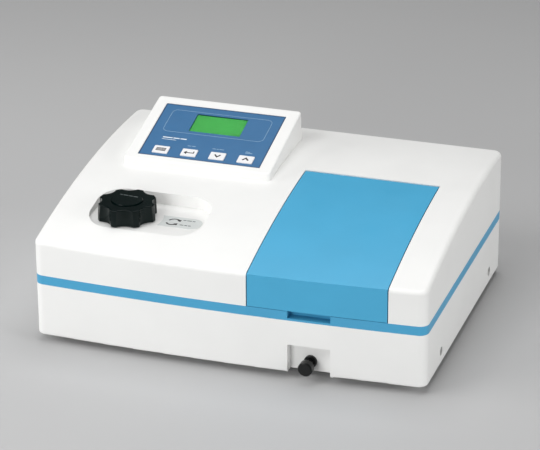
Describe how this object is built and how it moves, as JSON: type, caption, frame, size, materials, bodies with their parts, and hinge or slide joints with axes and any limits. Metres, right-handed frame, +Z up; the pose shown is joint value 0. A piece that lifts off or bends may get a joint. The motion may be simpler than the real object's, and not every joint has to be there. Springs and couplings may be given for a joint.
{
  "type": "bench spectrophotometer",
  "caption": "Bench visible-light spectrophotometer with a hinged sample lid, sliding cuvette carriage, wavelength knob and tilted display console.",
  "frame": {"origin": "on the table under the centre of the whole instrument", "axes": "+Z up, -Y towards the user, +X towards the sample compartment side"},
  "size_m": [0.42, 0.338, 0.1761],
  "materials": {
    "white_plastic": "fine satin moulded",
    "blue_plastic": "satin moulded",
    "band_plastic": "satin moulded",
    "panel_print": "printed film",
    "key_plastic": "smooth",
    "display_green": "backlit display",
    "clear_plastic": "clear",
    "black_plastic": "moulded",
    "knob_plastic": "satin moulded",
    "label_print": "printed film",
    "rubber": "matt",
    "foam": "foam",
    "steel": "brushed",
    "painted_steel": "black powder coat",
    "cast_aluminium": "cast",
    "aluminium": "brushed",
    "brass": "machined",
    "optical_glass": "polished",
    "mirror_glass": "aluminised",
    "circuit_board": "solder mask",
    "ceramic": "ceramic",
    "transformer_iron": "varnished"
  },
  "bodies": {
    "case": {"base_shell": "white_plastic", "feet": "rubber", "case_screws": "steel", "trim_band": "band_plastic", "top_cover": "white_plastic", "hinge_pins": "steel", "sample_tub": "painted_steel", "light_seal": "foam", "guide_rails": "steel", "detent_spring": "steel", "rod_bush": "black_plastic", "bush_nut": "black_plastic", "console_housing": "white_plastic", "keypad_panel": "panel_print", "lcd_window": "clear_plastic", "lcd_module": "black_plastic", "lcd_glass": "display_green", "key_board": "circuit_board", "knob_bush": "brass", "wavelength_sensor": "black_plastic", "direction_label": "label_print", "chassis_plate": "steel", "monochromator_box": "cast_aluminium", "monochromator_lid": "cast_aluminium", "grating_bush": "brass", "mirrors": "mirror_glass", "mirror_mounts": "aluminium", "slit_plates": "painted_steel", "beam_lenses": "optical_glass", "lamp_house": "aluminium", "lamp_socket": "ceramic", "halogen_lamp": "optical_glass", "detector_housing": "cast_aluminium", "photocell": "circuit_board", "transformer": "transformer_iron", "main_board": "circuit_board", "connector_plate": "painted_steel", "power_inlet": "black_plastic", "power_switch": "black_plastic", "fuse_holder": "black_plastic", "data_port": "steel"},
    "lid_flap": {"lid": "blue_plastic"},
    "knob_group": {"wavelength_knob": "knob_plastic", "knob_cap": "knob_plastic", "knob_shaft": "steel", "drive_pinion": "brass"},
    "idler_group": {"idler_gear": "brass", "idler_shaft": "steel"},
    "grating_group": {"grating_table": "aluminium", "grating": "mirror_glass", "sector_gear": "brass"},
    "carriage_group": {"cuvette_carriage": "aluminium", "cuvette_holder": "painted_steel", "pull_rod": "steel", "rod_knob": "black_plastic"},
    "mode_button": {"mode_key": "key_plastic"},
    "enter_button": {"enter_key": "key_plastic"},
    "down_button": {"down_key": "key_plastic"},
    "up_button": {"up_key": "key_plastic"},
    "rocker": {"power_rocker": "black_plastic"}
  },
  "joints": [
    {"name": "lid_hinge", "type": "hinge", "parent": "case", "child": "lid_flap", "pos_m": [0.09685, 0.0399, 0.141], "axis": [-1, 0, 0], "range_deg": [0, 100]},
    {"name": "knob_turn", "type": "hinge", "parent": "case", "child": "knob_group", "pos_m": [-0.1313, -0.084, 0.13], "axis": [0, 0, 1], "range_deg": [-384, 384]},
    {"name": "idler_turn", "type": "hinge", "parent": "case", "child": "idler_group", "pos_m": [-0.1217, -0.04004, 0.096], "axis": [0, 0, 1], "range_deg": [-96.5, 96.5]},
    {"name": "grating_turn", "type": "hinge", "parent": "case", "child": "grating_group", "pos_m": [-0.045, -0.014, 0.045], "axis": [0, 0, 1], "range_deg": [-12.1, 12.1]},
    {"name": "carriage_slide", "type": "slide", "parent": "case", "child": "carriage_group", "axis": [0, -1, 0], "range_m": [0, 0.048]},
    {"name": "mode_press", "type": "slide", "parent": "case", "child": "mode_button", "axis": [0, 0.2334, -0.9724], "range_m": [0, 0.0008], "stiffness_N_per_m": 300},
    {"name": "enter_press", "type": "slide", "parent": "case", "child": "enter_button", "axis": [0, 0.2334, -0.9724], "range_m": [0, 0.0008], "stiffness_N_per_m": 300},
    {"name": "down_press", "type": "slide", "parent": "case", "child": "down_button", "axis": [0, 0.2334, -0.9724], "range_m": [0, 0.0008], "stiffness_N_per_m": 300},
    {"name": "up_press", "type": "slide", "parent": "case", "child": "up_button", "axis": [0, 0.2334, -0.9724], "range_m": [0, 0.0008], "stiffness_N_per_m": 300},
    {"name": "power_rock", "type": "hinge", "parent": "case", "child": "rocker", "pos_m": [0.132, 0.152, 0.038], "axis": [-1, 0, 0], "range_deg": [0, 20]}
  ],
  "couplings": [
    {"joint": "idler_turn", "follows": "knob_turn", "ratio": -0.25},
    {"joint": "grating_turn", "follows": "knob_turn", "ratio": 0.03125}
  ]
}
